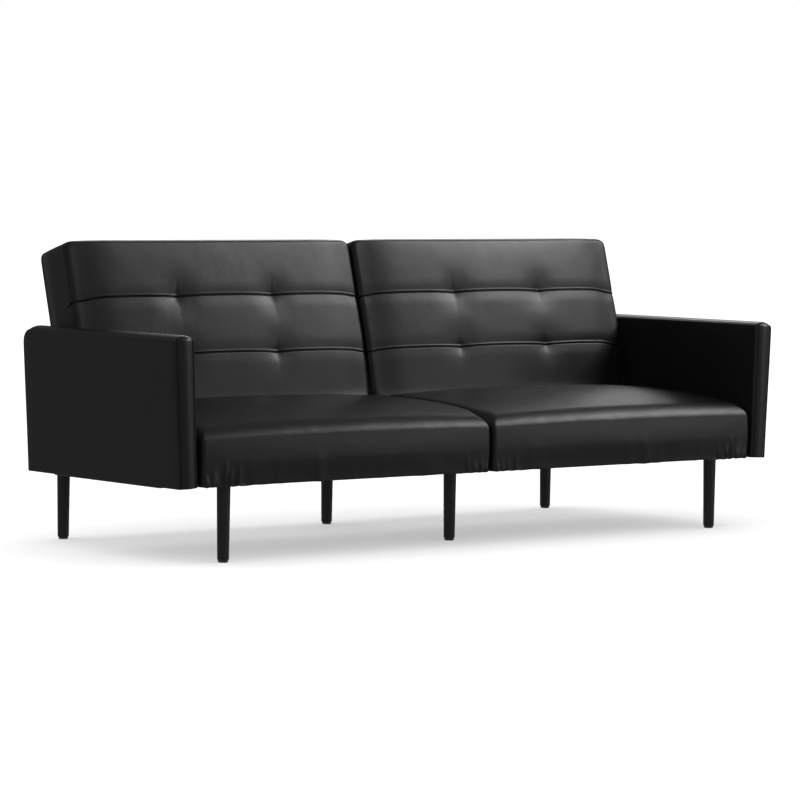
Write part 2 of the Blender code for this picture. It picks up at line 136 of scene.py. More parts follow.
# %% Graphs
class Graph:
    """The node tree of a new material, with its Principled shader ready."""

    def __init__(self, name):
        self.material = bpy.data.materials.new(name)
        self.material.use_nodes = True
        self.tree = self.material.node_tree
        self.shader = self.tree.nodes["Principled BSDF"]

    def _feed(self, node, inputs):
        for key, value in inputs.items():
            if isinstance(value, Wire):
                self.tree.links.new(value.socket, node.inputs[key])
            else:
                node.inputs[key].default_value = value

    def add(self, kind, settings=None, inputs=None, output=0):
        """Add a node, set its settings, then feed its sockets. Returns one output as a Wire."""
        node = self.tree.nodes.new(kind)
        for key, value in (settings or {}).items():
            setattr(node, key, value)
        self._feed(node, inputs or {})
        return Wire(self, node.outputs[output])

    def set(self, **inputs):
        """Feed the shader. Underscores in a name stand for spaces."""
        self._feed(self.shader, {key.replace("_", " "): value for key, value in inputs.items()})

    def place(self, stretch=(1.0, 1.0, 1.0)):
        """Where a point is on the piece, in metres, with each axis stretched."""
        spot = self.add("ShaderNodeTexCoord", output=3)
        return self.add("ShaderNodeMapping", {}, {"Vector": spot, "Scale": stretch})

    def noise(self, scale, detail=2.0, stretch=(1.0, 1.0, 1.0), distortion=0.0):
        """Soft noise between 0 and 1. scale is in lumps per metre."""
        return self.add("ShaderNodeTexNoise", {}, {
            "Vector": self.place(stretch), "Scale": scale, "Detail": detail, "Distortion": distortion})

    def mix(self, factor, one, two):
        """Blend two colours."""
        node = self.tree.nodes.new("ShaderNodeMix")
        node.data_type = "RGBA"
        self._feed(node, {0: factor, 6: (*one, 1.0), 7: (*two, 1.0)})
        return Wire(self, node.outputs[2])

    def bump(self, height, distance, strength=1.0, below=None):
        """Turn a height between 0 and 1 into a normal. distance is its real depth in metres."""
        inputs = {"Height": height, "Distance": distance, "Strength": strength}
        if below:
            inputs["Normal"] = below
        return self.add("ShaderNodeBump", {}, inputs)


print("a graph makes", ", ".join(name for name in vars(Graph) if not name.startswith("_")))

# %% [markdown]
# ## Faux leather
#
# The real stuff is a cloth with a skin of soft plastic. It is nearly black, a little glossy, and
# pressed with a fine pebble grain. Three things make it read as leather and not as paint: the grain, a
# slow change of gloss where the skin is stretched or worn, and a very soft waviness of the padding
# under it. The grain is a Voronoi pattern of about a millimetre. It could be an image wrapped on with
# UVs, but a pattern in the space of the piece needs none, and never shows a seam of its own.

# %% Faux leather
def faux_leather(name, dark, light, gloss, wave):
    """Black faux leather. wave is the depth of the soft waviness, in metres."""
    g = Graph(name)
    spot = g.place()
    cells = g.add("ShaderNodeTexVoronoi", {"feature": "DISTANCE_TO_EDGE"}, {
        "Vector": spot, "Scale": 760.0, "Randomness": 1.0})
    grain = (cells * 6.0).clamp()
    pores = g.noise(2100.0, 2.0)
    cloud = g.noise(5.5, 3.0, distortion=0.4)
    worn = g.noise(23.0, 4.0)
    g.set(Base_Color=g.mix((cloud * 0.75 + grain * 0.25).clamp(), dark, light),
          Roughness=gloss - 0.04 + cloud * 0.06 + worn * 0.04 - grain * 0.02)
    slow = g.bump(g.noise(9.0, 1.5), wave)
    creases = g.bump(g.noise(62.0, 3.0, (1.0, 1.0, 0.55)), 0.00025, 1.0, slow)
    fine = g.bump(pores, 0.00003, 0.5, creases)
    g.set(Normal=g.bump(grain, 0.00007, 0.55, fine))
    g.set(Specular_IOR_Level=0.42)
    return g.material


LEATHER_DARK, LEATHER_LIGHT = (0.0028, 0.0028, 0.0030), (0.0050, 0.0050, 0.0053)
LEATHER = faux_leather("faux_leather", LEATHER_DARK, LEATHER_LIGHT, 0.39, 0.0014)
ARM_LEATHER = faux_leather("arm_leather", LEATHER_DARK, LEATHER_LIGHT, 0.40, 0.0005)
for made in (LEATHER, ARM_LEATHER):
    print(made.name, len(made.node_tree.nodes), "nodes")

# %% [markdown]
# ## The hard finishes
#
# The legs are turned wood under black lacquer, so the grain only shows as faint ripples in the gloss.
# The frame is cheap softwood, stained dark. The brackets are powder-coated, which has a pebbled skin
# like an orange. The springs are bare drawn wire, and the linings are pressed fibre with no weave. A
# finish is noise stretched the way its marks run: along a leg, along a board, along a wire.

# %% Lacquer and stained wood
def lacquer():
    """Black lacquer over turned wood."""
    g = Graph("black_lacquer")
    grain = g.noise(90.0, 4.0, (1.0, 1.0, 0.06), 0.8)
    cloud = g.noise(18.0, 2.0)
    g.set(Base_Color=g.mix(grain, (0.0040, 0.0033, 0.0042), (0.0082, 0.0064, 0.0080)),
          Roughness=0.27 + cloud * 0.10 + grain * 0.05,
          Normal=g.bump(grain, 0.00012, 0.6), Specular_IOR_Level=0.5)
    return g.material


def stained_wood():
    """Softwood in a dark stain, sawn and only roughly sanded."""
    g = Graph("stained_wood")
    figure = g.noise(38.0, 5.0, (0.05, 1.0, 1.0), 1.2)
    saw = g.noise(420.0, 2.0, (1.0, 0.2, 1.0))
    g.set(Base_Color=g.mix(figure, (0.010, 0.0085, 0.0075), (0.034, 0.026, 0.020)),
          Roughness=0.55 + figure * 0.15 + saw * 0.10,
          Normal=g.bump(saw, 0.00006, 0.5, g.bump(figure, 0.0002, 0.7)))
    return g.material


FINISHES = {"vinyl": LEATHER, "leg": lacquer(), "wood": stained_wood()}
print("wood finishes ready")

# %% Powder coat, wire and plastic
def powder_coat():
    """Black powder coat on steel."""
    g = Graph("powder_coat")
    peel = g.noise(900.0, 2.0)
    cloud = g.noise(30.0, 2.0)
    g.set(Base_Color=g.mix(cloud, (0.012, 0.012, 0.013), (0.022, 0.022, 0.024)),
          Roughness=0.42 + cloud * 0.12, Normal=g.bump(peel, 0.00005, 0.7), Specular_IOR_Level=0.5)
    return g.material


def drawn_wire():
    """Bare spring wire with a film of oil."""
    g = Graph("drawn_wire")
    streak = g.noise(700.0, 3.0, (1.0, 0.1, 1.0))
    film = g.noise(26.0, 2.0)
    g.set(Base_Color=g.mix(film, (0.16, 0.15, 0.14), (0.34, 0.33, 0.31)), Metallic=1.0,
          Roughness=0.28 + film * 0.16 + streak * 0.08, Normal=g.bump(streak, 0.00003, 0.5))
    return g.material


def moulded_plastic():
    """The black plastic of the floor glides, scuffed near the floor."""
    g = Graph("moulded_plastic")
    scuff = g.noise(520.0, 4.0)
    g.set(Base_Color=g.mix(scuff, (0.010, 0.010, 0.010), (0.026, 0.026, 0.026)),
          Roughness=0.48 + scuff * 0.2, Normal=g.bump(scuff, 0.00006, 0.6))
    return g.material


FINISHES.update(steel=powder_coat(), wire=drawn_wire(), plastic=moulded_plastic())
print("metal and plastic finishes ready")

# %% Lining and foam
def pressed_fibre():
    """Black lining made of pressed fibres, with its grid of weld dots."""
    g = Graph("pressed_fibre")
    fibre = g.noise(1300.0, 4.0, (1.0, 0.35, 1.0), 1.5)
    dots = g.add("ShaderNodeTexVoronoi", {"feature": "F1"}, {
        "Vector": g.place(), "Scale": 260.0, "Randomness": 0.15})
    weld = 1.0 - (dots * 2.6).clamp()
    g.set(Base_Color=g.mix(fibre, (0.008, 0.008, 0.008), (0.026, 0.026, 0.027)),
          Roughness=0.82 + fibre * 0.12 - weld * 0.2,
          Normal=g.bump(weld, 0.00018, 0.5, g.bump(fibre, 0.00015, 0.8)))
    return g.material


def bare_foam():
    """Cut polyurethane foam, which has open cells."""
    g = Graph("bare_foam")
    cells = g.add("ShaderNodeTexVoronoi", {"feature": "F1"}, {"Vector": g.place(), "Scale": 620.0})
    g.set(Base_Color=g.mix(cells, (0.62, 0.52, 0.30), (0.80, 0.72, 0.50)), Roughness=0.94,
          Normal=g.bump(cells, 0.0004, 0.8))
    return g.material


FINISHES.update(lining=pressed_fibre(), foam=bare_foam())
print("finishes", sorted(FINISHES))

# %% Put the finishes on the frame
SHARP_EDGE = radians(35)
for part in RECORD["subparts"]:
    node = NODES[part["node"]]
    node.data.materials.clear()
    node.data.materials.append(FINISHES[part["material_slot"]])
    node.data.shade_smooth()
    node.data.set_sharp_from_angle(angle=SHARP_EDGE)
print(len(RECORD["subparts"]), "frame parts finished")

# %% [markdown]
# ## A box of lattice points
#
# Every cushion here starts as the six faces of a lattice, like the skin of a block of sugar cubes. The
# lattice lines need not be even: they crowd together where a seam will be. One side stays open, as on
# the real cushion, where the cover is stapled to the frame: there the skin turns in and lines a
# hollow, which the frame parts sit in. The outer edges are rounded by pushing every point out from
# an inner core to the same distance, which is what stuffing does to a cloth box. A subdivided cube
# with bevels could be used instead, but its lines could not be placed where the seams run.

# %% Smooth curves
def ramp(value, low, high):
    """0 up to low, 1 from high on, and a smooth rise between."""
    t = np.clip((value - low) / (high - low), 0, 1)
    return t * t * (3 - 2 * t)


def bell(value, width):
    """A smooth hump of height 1 about zero."""
    return np.exp(-(value / width) ** 2)


print("ramp and bell half-way:", float(ramp(0.5, 0, 1)), round(float(bell(0.5, 1)), 2))

# %% Lattice lines
ROLL_ANGLES = (45, 37, 29, 20, 10)


def lines(low, high, step, roll, marks=(), near=0.006, fine=0.0012):
    """Lattice lines across a box: even angles round its rolled edges, and fine lines at each mark."""
    turns = [roll * (1 - np.tan(radians(angle))) for angle in ROLL_ANGLES]
    steps = max(2, round((high - low - 2 * roll) / step))
    found = list(np.linspace(low + roll, high - roll, steps + 1))
    for mark in marks:
        found = [value for value in found if abs(value - mark) > near + fine]
        found += list(np.linspace(mark - near, mark + near, 2 * round(near / fine) + 1))
    return np.array([low + t for t in turns] + sorted(found) + [high - t for t in reversed(turns)])


print("lines across 0.1 m:", [round(float(value), 3) for value in lines(0, 0.1, 0.02, 0.02)])

# %% The skin of a lattice box
class Skin:
    """The skin of a lattice box whose open side lines a hollow.

    open_side is an axis and an end, such as (2, 0) for the lowest Z. rest keeps where every point was
    on the plain block, because seams are laid out on it later. spot is where it is now.
    """

    def __init__(self, axes, open_side, wall, floor):
        self.axes = axes
        counts = [len(a) for a in axes]
        axis, end = self.axis, self.end = open_side
        last = counts[axis] - 1 if end else 0
        self.low = np.array([a[0] for a in axes])
        self.high = np.array([a[-1] for a in axes])
        numbers, rest, inner, self.faces = {}, [], [], []

        def number(key):
            if key not in numbers:
                numbers[key] = len(rest)
                spot = [axes[c][key[c]] for c in range(3)]
                across = [c for c in range(3) if c != axis]
                rims = [min(key[c], counts[c] - 1 - key[c]) for c in across]
                lining = key[axis] == last and min(rims) > 0
                if lining:
                    for c in across:
                        spot[c] = self._inside(c, key[c], counts[c], wall)
                    if min(rims) > 1:
                        spot[axis] = floor
                rest.append(spot)
                inner.append(lining)
            return numbers[key]

        for c in range(3):
            a, b = (c + 1) % 3, (c + 2) % 3
            for side in (0, counts[c] - 1):
                for p in range(counts[a] - 1):
                    for q in range(counts[b] - 1):
                        ring = []
                        for dp, dq in ((0, 0), (1, 0), (1, 1), (0, 1)):
                            key = [0, 0, 0]
                            key[c], key[a], key[b] = side, p + dp, q + dq
                            ring.append(number(tuple(key)))
                        self.faces.append(ring if side else ring[::-1])
        self.rest = np.array(rest, float)
        self.inner = np.array(inner)
        self.spot = self.rest.copy()

    def _inside(self, c, index, count, wall):
        """Where a line of the open side runs: the rim, then the foot of the lining, then even."""
        low, high = self.low[c] + wall, self.high[c] - wall
        if index <= 2:
            return low
        if index >= count - 3:
            return high
        return low + (high - low) * (index - 2) / (count - 5)

    def roll(self, radius):
        """Roll the outline of the closed face over. radius may differ from point to point."""
        across = [c for c in range(3) if c != self.axis]
        centre, half = (self.low + self.high) / 2, (self.high - self.low) / 2
        face = self.low[self.axis] if self.end else self.high[self.axis]
        inward = 1 if self.end else -1
        gap = half[across] - np.abs(self.rest[:, across] - centre[across])
        aside = gap.min(axis=1)
        deep = (self.rest[:, self.axis] - face) * inward
        radius = np.broadcast_to(radius, aside.shape)
        near = (aside < radius) & (deep < radius) & ~self.inner
        a, d = np.where(near, radius - aside, 0), np.where(near, radius - deep, 0)
        length = np.hypot(a, d)
        length[length < 1e-9] = 1
        new_aside = np.where(near, radius - radius * a / length, aside)
        new_deep = np.where(near, radius - radius * d / length, deep)
        for c in across:
            share = (half[c] - new_aside) / np.maximum(half[c] - aside, 1e-6)
            pulled = centre[c] + (self.spot[:, c] - centre[c]) * share
            self.spot[:, c] = np.where(near, pulled, self.spot[:, c])
        self.spot[:, self.axis] = np.where(near, face + inward * new_deep, self.spot[:, self.axis])

    def round_off(self, a, b, radii):
        """Round edges of the plane of axes a and b. radii maps a corner's two signs to its radius."""
        for (sign_a, sign_b), radius in radii.items():
            core_a = (self.high if sign_a > 0 else self.low)[a] - sign_a * radius
            core_b = (self.high if sign_b > 0 else self.low)[b] - sign_b * radius
            far_a = (self.spot[:, a] - core_a) * sign_a
            far_b = (self.spot[:, b] - core_b) * sign_b
            inside = (far_a > 0) & (far_b > 0)
            keep = np.maximum(far_a, far_b) / np.maximum(np.hypot(far_a, far_b), 1e-9)
            self.spot[:, a] = np.where(inside, core_a + sign_a * far_a * keep, self.spot[:, a])
            self.spot[:, b] = np.where(inside, core_b + sign_b * far_b * keep, self.spot[:, b])

    def mesh(self, name, leather, place):
        """A Blender object of the skin. place turns its own frame into the sofa's."""
        data = bpy.data.meshes.new(name)
        data.from_pydata([tuple(p) for p in self.spot], [], self.faces)
        data.materials.append(leather)
        crease = data.attributes.new("crease_edge", "FLOAT", "EDGE")
        ends = np.zeros(len(data.edges) * 2, int)
        data.edges.foreach_get("vertices", ends)
        held = self.inner[ends.reshape(-1, 2)].all(axis=1)
        crease.data.foreach_set("value", held.astype(np.float32))
        data.shade_smooth()
        piece = bpy.data.objects.new(name, data)
        piece.matrix_world = place
        bpy.context.scene.collection.objects.link(piece)
        return piece


print("a skin can", ", ".join(name for name in vars(Skin) if not name.startswith("_")))

# %% Reading and moving the points of a mesh
def put(piece, points):
    """Move the points of a mesh."""
    piece.data.vertices.foreach_set("co", points.astype(np.float32).ravel())
    piece.data.update()


def where(piece):
    """The points of a mesh as an (n, 3) array."""
    flat = np.zeros(len(piece.data.vertices) * 3, np.float32)
    piece.data.vertices.foreach_get("co", flat)
    return flat.reshape(-1, 3).astype(float)


def outward(piece):
    """The outward normal at each point of a mesh."""
    flat = np.zeros(len(piece.data.vertices) * 3, np.float32)
    piece.data.vertex_normals.foreach_get("vector", flat)
    return flat.reshape(-1, 3).astype(float)


print("points are read and moved as arrays")

# %% [markdown]
# ## Stuffing by simulation
#
# Foam pushes a cover out, and the cover is held along its seams and staples. Blender's Cloth is set up
# here to do that: `pressure` pushes outwards, `pinned` says where the cloth is held, and no point may
# travel further than a cap. The Cloth is then removed, and what stays is an ordinary mesh.
#
# As it stands, this step does nothing. The cloth moves by less than 0.001 mm, and the cause is not
# known. All the fullness of the cushions comes from the swelling in the sections below. If the cloth is
# made to work, the cushions grow by up to the cap, and their size and their clearances have to be
# checked again.

# %% The cloth's settings
CLOTH_FRAMES = 20
CLOTH_PRESSURE = 4.0
CLOTH_MASS = 0.3
CLOTH_STRETCH, CLOTH_SHEAR, CLOTH_BEND = 30, 15, 6.0


def add_cloth(piece, spare):
    """A Cloth modifier that pushes outwards. spare is the share of extra cloth."""
    cloth = piece.modifiers.new("cloth", "CLOTH")
    rules = cloth.settings
    rules.quality = 4
    rules.mass = CLOTH_MASS
    rules.tension_stiffness = rules.compression_stiffness = CLOTH_STRETCH
    rules.shear_stiffness = CLOTH_SHEAR
    rules.bending_stiffness = CLOTH_BEND
    rules.use_pressure = True
    rules.uniform_pressure_force = CLOTH_PRESSURE
    rules.effector_weights.gravity = 0
    rules.vertex_group_mass = "held"
    rules.shrink_min = -spare
    cloth.collision_settings.use_collision = False
    cloth.point_cache.frame_start = 1
    cloth.point_cache.frame_end = CLOTH_FRAMES
    return cloth


print("the cloth runs for", CLOTH_FRAMES, "frames at a pressure of", CLOTH_PRESSURE)

# %% Stuffing
def stuff(piece, pinned, spare, cap):
    """Run a skin as cloth. pinned is 1 where it is held, and cap is the furthest it may move."""
    before = where(piece)
    group = piece.vertex_groups.new(name="held")
    rounded = np.round(pinned, 1)
    for level in np.unique(rounded):
        group.add([int(i) for i in np.flatnonzero(rounded == level)], float(level), "REPLACE")
    cloth = add_cloth(piece, spare)
    for frame_number in range(1, CLOTH_FRAMES + 1):
        bpy.context.scene.frame_set(frame_number)
    shaped = piece.evaluated_get(bpy.context.evaluated_depsgraph_get())
    flat = np.zeros(len(before) * 3, np.float32)
    shaped.data.vertices.foreach_get("co", flat)
    moved = flat.reshape(-1, 3).astype(float) - before
    piece.modifiers.remove(cloth)
    piece.vertex_groups.remove(group)
    bpy.context.scene.frame_set(1)
    length = np.linalg.norm(moved, axis=1, keepdims=True)
    length[length < 1e-9] = 1
    moved *= cap * np.tanh(length / cap) / length
    moved *= 1 - pinned[:, None]
    put(piece, before + moved)
    furthest = float(np.linalg.norm(moved, axis=1).max())
    print(piece.name, "moved by the cloth by up to", round(furthest * 1000, 4), "mm")


def soften(piece):
    """One level of Subdivision Surface, the same in the view and in the render."""
    smooth = piece.modifiers.new("smooth", "SUBSURF")
    smooth.levels = smooth.render_levels = 1


print("simulation is", "on")

# %% [markdown]
# ## The back cushions
#
# Each back panel is a board with foam on it, in a cover that is pulled over the front and stapled
# behind. Two tucks run right across the face. They are folds of the cover, sewn and pulled down, so
# each shows a thin lip over a dark line. Two buttonless tufts pull each tuck in further: the cloth
# above a tuft slopes down into it and looks dark, and the cloth below it faces up and catches the
# light. The panels lean back, so the work is done in a frame that leans with them: X across, Y from
# the face to the rear, Z up the panel. That frame has its origin on the hinge.

# %% The leaning frame
hinge = next(j for j in frame["joints"] if j["child"] == "right_back")
lining = NODES["right_back_lining"]
rear_face = max(lining.data.polygons, key=lambda p: p.area * p.normal.y)
RECLINE = float(np.arctan2(-rear_face.normal.z, rear_face.normal.y))
BACK_FRAME = Matrix.Translation(Vector(hinge["pos_m"])) @ Matrix.Rotation(-RECLINE, 4, "X")
to_back = BACK_FRAME.inverted()
print("the back leans by", round(degrees(RECLINE), 2), "degrees")


def back_box(node):
    """Lowest and highest corner of a node in the leaning frame."""
    corners = np.array([to_back @ v.co for v in NODES[node].data.vertices])
    return corners.min(axis=0), corners.max(axis=0)


# %% Size and fullness of a back cushion
BACK_CORNER = 0.022
BACK_ROLL = 0.012
BACK_CROWN = 0.013
BACK_SHOULDER = 0.068
BACK_SHOULDER_FALL = 0.0095
BACK_FOOT_FALL = 0.012
BACK_END_SWELL = 0.008
BACK_SPLIT_SWELL = 0.003
COVER = 0.0015
BACK_STEP = 0.0100
BACK_DEEP_STEP = 0.011


def back_plan(word):
    """Where a back cushion starts and stops in the leaning frame, and where its board is."""
    low, high = back_box(f"{word}_back_cover")
    inner, outer = sorted((abs(low[0]), abs(high[0])))
    return low, high, inner, outer, back_box(f"{word}_back_board")[0][1]


print("a back cushion is", round(float(np.ptp(back_plan("right")[2:4])), 3), "m wide")

# %% Where the tucks and tufts are
TUCK_BELOW_TOP = (0.153, 0.3045)
TUCK_ARCH = 0.0022
TUCK_END_DROP = 0.007
TUCK_GROOVE = 0.0018
TUFT_X = {"left": ((0.300, 0.603), (0.308, 0.612)), "right": ((0.318, 0.621), (0.313, 0.619))}
TUFT_NEAR = 0.012
TUFT_BOWL = (0.0054, 0.046)
TUFT_EYE = (0.0030, 0.014)


def tuck_level(level, tufts, x, depth, inner, outer):
    """How high a tuck runs. It arches between its tufts and sinks towards the ends of the panel."""
    stops = [inner, *tufts, outer]
    arch = np.zeros_like(x)
    for a, b in zip(stops, stops[1:]):
        t = np.clip((x - a) / (b - a), 0, 1)
        arch = np.maximum(arch, np.where((x >= a) & (x <= b), 4 * t * (1 - t), 0))
    ends = ramp(x, outer - 0.08, outer) + 0.5 * (1 - ramp(x, inner, inner + 0.05))
    return level + TUCK_ARCH * arch - TUCK_END_DROP * ends - 0.35 * np.clip(depth, 0, 0.03)


def tuck_profile(above):
    """Height of the cover across a tuck. above is the distance up the panel from its line."""
    lip = 0.0013 * bell(above - 0.0026, 0.0016)
    line = -0.0042 * bell(above + 0.0006, 0.0016)
    crest = -0.0007 * bell(above - 0.0058, 0.0014)
    return lip + line + crest


deepest = min(float(tuck_profile(step / 10000)) for step in range(-50, 50))
print("a tuck is", round(-deepest * 1000, 1), "mm deep")

# %% Swell a back cushion
def back_fullness(x, z, levels, rows, near_tuck, low, high, inner, outer):
    """How far the face stands out, with its crown, its soft ends and foot, and its tufts."""
    across = 1 - ((x - (inner + outer) / 2) / (outer - inner) * 2) ** 2
    up = np.clip((z - low[2] - 0.05) / (high[2] - low[2] - 0.05), 0, 1)
    shoulder = bell(np.minimum(x - inner, outer - x), BACK_SHOULDER)
    fall = (1 - ramp(up, 0.0, 0.42)) * ramp(z, low[2] + 0.01, low[2] + 0.10)
    bulge = BACK_CROWN * across * np.sqrt(4 * up * (1 - up)) - TUCK_GROOVE * (1 - ramp(near_tuck, 0, 0.030))
    bulge -= BACK_SHOULDER_FALL * shoulder + BACK_FOOT_FALL * fall
    dimple = np.zeros_like(z)
    for level, tufts in zip(levels, rows):
        for tuft in tufts:
            far = np.hypot((x - tuft) / 1.1, z - level)
            dimple += sum(deep * bell(far, wide) for deep, wide in (TUFT_BOWL, TUFT_EYE))
    return bulge - dimple


def swell_back(skin, x, z, depth, fullness, low, inner, outer):
    """Push the face forwards and the ends outwards, fading smoothly round the rolled edges."""
    outside = ~skin.inner
    now_x, now_y = skin.spot[:, 0].copy(), skin.spot[:, 1].copy()
    skin.spot[:, 1] -= fullness * (1 - ramp(now_y - low[1], 0.0, 0.045)) * outside
    end_face = ramp(now_x, outer - 0.020, outer) * ramp(z, low[2] + 0.19, low[2] + 0.26)
    split_face = 1 - ramp(now_x, inner, inner + 0.020)
    swell = BACK_END_SWELL * end_face - BACK_SPLIT_SWELL * split_face
    skin.spot[:, 0] += swell * (1 - ramp(depth, 0.09, 0.13)) * outside


print("the face crowns by", round(BACK_CROWN * 1000), "mm")

# %% Hold and crease a back cushion
def held_back(x, z, depth, near_tuck, levels, rows, low, inner_skin):
    """1 where the cover is sewn or stapled: at the tucks, the tufts, the rear and the foot."""
    tuft_gap = np.full_like(z, 1.0)
    for level, tufts in zip(levels, rows):
        for tuft in tufts:
            tuft_gap = np.minimum(tuft_gap, np.hypot(x - tuft, z - level))
    held = np.maximum(1 - ramp(near_tuck, 0.006, 0.016), 1 - ramp(tuft_gap, 0.010, 0.020))
    held = np.maximum(held, ramp(depth, 0.055, 0.085))
    held = np.maximum(held, 1 - ramp(z, low[2] + 0.03, low[2] + 0.08))
    held[inner_skin] = 1
    return held


def back_creases(x, z, levels, rows):
    """The tucks, and a thin crease above and below each tuft."""
    cut = np.zeros_like(z)
    for level, tufts in zip(levels, rows):
        above = z - level
        cut += tuck_profile(above)
        for tuft in tufts:
            aside = x - tuft
            over = bell(aside + 0.10 * above, 0.0035) * ramp(above, 0.0, 0.008)
            over = over * (1 - ramp(above, 0.01, 0.055))
            under = bell(aside - 0.06 * above, 0.0085) * ramp(-above, 0.0, 0.010)
            under = under * (1 - ramp(-above, 0.02, 0.12))
            cut -= 0.0011 * over + 0.0003 * under
    return cut


print("each panel has", sum(len(row) for row in TUFT_X["left"]), "tufts")

# %% Finish a soft piece
def declare(piece, kind, fill, body, *replaced):
    """Smooth a soft piece, hide the frame parts it replaces, hang it on its body and print its kind. fill is not
    used.
    """
    soften(piece)
    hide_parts(*replaced)
    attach(piece, body)
    print(piece.name, len(piece.data.vertices), "points,", kind)


def mirror(skin, side):
    """Turn a skin made for the right side into one for the left."""
    if side < 0:
        skin.spot[:, 0] *= -1
        skin.faces = [face[::-1] for face in skin.faces]


print("side signs", SIDES)

# %% Make the back cushions
def make_back(word, side):
    """One back cushion, swelled, tucked and tufted."""
    low, high, inner, outer, board_face = back_plan(word)
    tucks = [high[2] - down for down in TUCK_BELOW_TOP]
    rows = TUFT_X[word]
    tuft_marks = [sum(pair) / 2 for pair in zip(*rows)]
    axes = [lines(inner, outer, BACK_STEP, BACK_ROLL, tuft_marks, TUFT_NEAR, 0.0030),
            lines(low[1], high[1], BACK_DEEP_STEP, BACK_ROLL),
            lines(low[2], high[2], BACK_STEP, BACK_ROLL, tucks)]
    skin = Skin(axes, (1, 1), COVER, board_face - 0.0003)
    x, y, z = skin.rest.T
    depth = y - low[1]
    outside = ~skin.inner
    foot = 1 - ramp(z, low[2] + 0.05, low[2] + 0.11)
    skin.roll(BACK_ROLL + (BACK_CORNER - BACK_ROLL) * foot)
    skin.round_off(0, 2, {(a, b): BACK_CORNER for a in (-1, 1) for b in (-1, 1)})

    # the tucks bend, and the lattice bends with them
    levels = [tuck_level(level, tufts, x, depth, inner, outer) for level, tufts in zip(tucks, rows)]
    shift = np.zeros_like(z)
    for level, bent in zip(tucks, levels):
        shift += (bent - level) * (1 - ramp(np.abs(z - level), 0.006, 0.06))
    z = z + shift * outside
    skin.spot[:, 2] += shift * outside
    near_tuck = np.minimum(np.abs(z - levels[0]), np.abs(z - levels[1]))
    fullness = back_fullness(x, z, levels, rows, near_tuck, low, high, inner, outer)
    swell_back(skin, x, z, depth, fullness, low, inner, outer)
    mirror(skin, side)
    cushion = skin.mesh(f"{word}_back_cushion", LEATHER, BACK_FRAME)
    stuff(cushion, held_back(x, z, depth, near_tuck, levels, rows, low, skin.inner), 0.006, 0.006)

    # creases are laid on the swelled shape
    fade = (1 - ramp(depth, 0.016, 0.040)) * outside
    cut = back_creases(x, z, levels, rows) * fade
    put(cushion, where(cushion) + outward(cushion) * cut[:, None])
    declare(cushion, "back", 0.9, f"{word}_back", f"{word}_back_cover", f"{word}_back_foam")


for word, side in SIDES.items():
    make_back(word, side)

# %% [markdown]
# ## The seat cushions
#
# A seat cushion is a thick block of foam on springs, in a cover that goes down over the rails and is
# stapled under them. People sit on its front edge, so the foam is lower there: the top climbs from
# the front to the rear and crowns in the middle. The cover is gathered at the hem, which leaves short
# upright puckers at the bottom of the front, most of them near the corners, and small ripples where
# the top turns over the front edge.

# %% Size and fullness of a seat cushion
SEAT_ROLL = 0.036
SEAT_END_ROLL = 0.015
SEAT_CORNER = 0.009
SEAT_STEP = 0.0075
SEAT_DEEP_STEP = 0.010
SEAT_TALL_STEP = 0.0085
SEAT_FRONT_DROP = 0.037
SEAT_SETTLE = 0.13
SEAT_CROWN = 0.020
SEAT_BELLY = 0.009
SEAT_END_SWELL = 0.0035
SEAT_SINK = 0.006


def swell_seat(skin, low, high, inner, outer):
    """Lower the front of the top, crown its middle, and swell the front and the ends.

    Every swelling is a smooth field in space, so that it never breaks the rolled edges. Returns how
    far behind the front each point is.
    """
    outside = ~skin.inner
    now_x, now_y, now_z = skin.spot.T.copy()
    middle, half = (inner + outer) / 2, (outer - inner) / 2
    back = now_y - low[1]
    across = 1 - np.abs((now_x - middle) / half) ** 2.3
    rise = (now_z - low[2]) / (high[2] - low[2])
    top = SEAT_FRONT_DROP * np.exp(-back / SEAT_SETTLE)
    crown = SEAT_CROWN * across * (0.45 + 0.55 * ramp(back, 0.0, 0.20))
    crown = crown * (1 - 0.4 * ramp(back, 0.30, 0.449))
    skin.spot[:, 2] += (crown - top - SEAT_SINK) * ramp(rise, 0.25, 1.0) * outside
    belly = np.where(rise > 0.36, 1 - ((rise - 0.36) / 0.64) ** 2, ramp(rise, 0.0, 0.36))
    skin.spot[:, 1] -= SEAT_BELLY * (0.35 + 0.65 * across) * belly * (1 - ramp(back, 0.0, 0.05)) * outside
    end_swell = ramp(rise, 0.05, 0.45) * ramp(back, 0.0, 0.06) * (1 - ramp(back, 0.38, 0.449))
    skin.spot[:, 0] += SEAT_END_SWELL * end_swell * outside * ramp(now_x - middle, half - 0.025, half)
    skin.spot[:, 0] -= SEAT_END_SWELL * end_swell * outside * ramp(middle - now_x, half - 0.025, half)
    return back


print("the seat falls", round(SEAT_FRONT_DROP * 1000), "mm at its front edge")

# %% Puckers and ripples
SEAT_OUTER_PLEATS = ((0.014, 0.035), (0.031, 0.060), (0.045, 0.040),
                     (0.066, 0.075), (0.083, 0.045), (0.108, 0.060))
SEAT_INNER_PLEATS = ((0.013, 0.030), (0.029, 0.045), (0.050, 0.035), (0.074, 0.060))
BROAD_FOLDS = 9
RIPPLES = 26
PLEAT_SEED = {"left": 11, "right": 23}


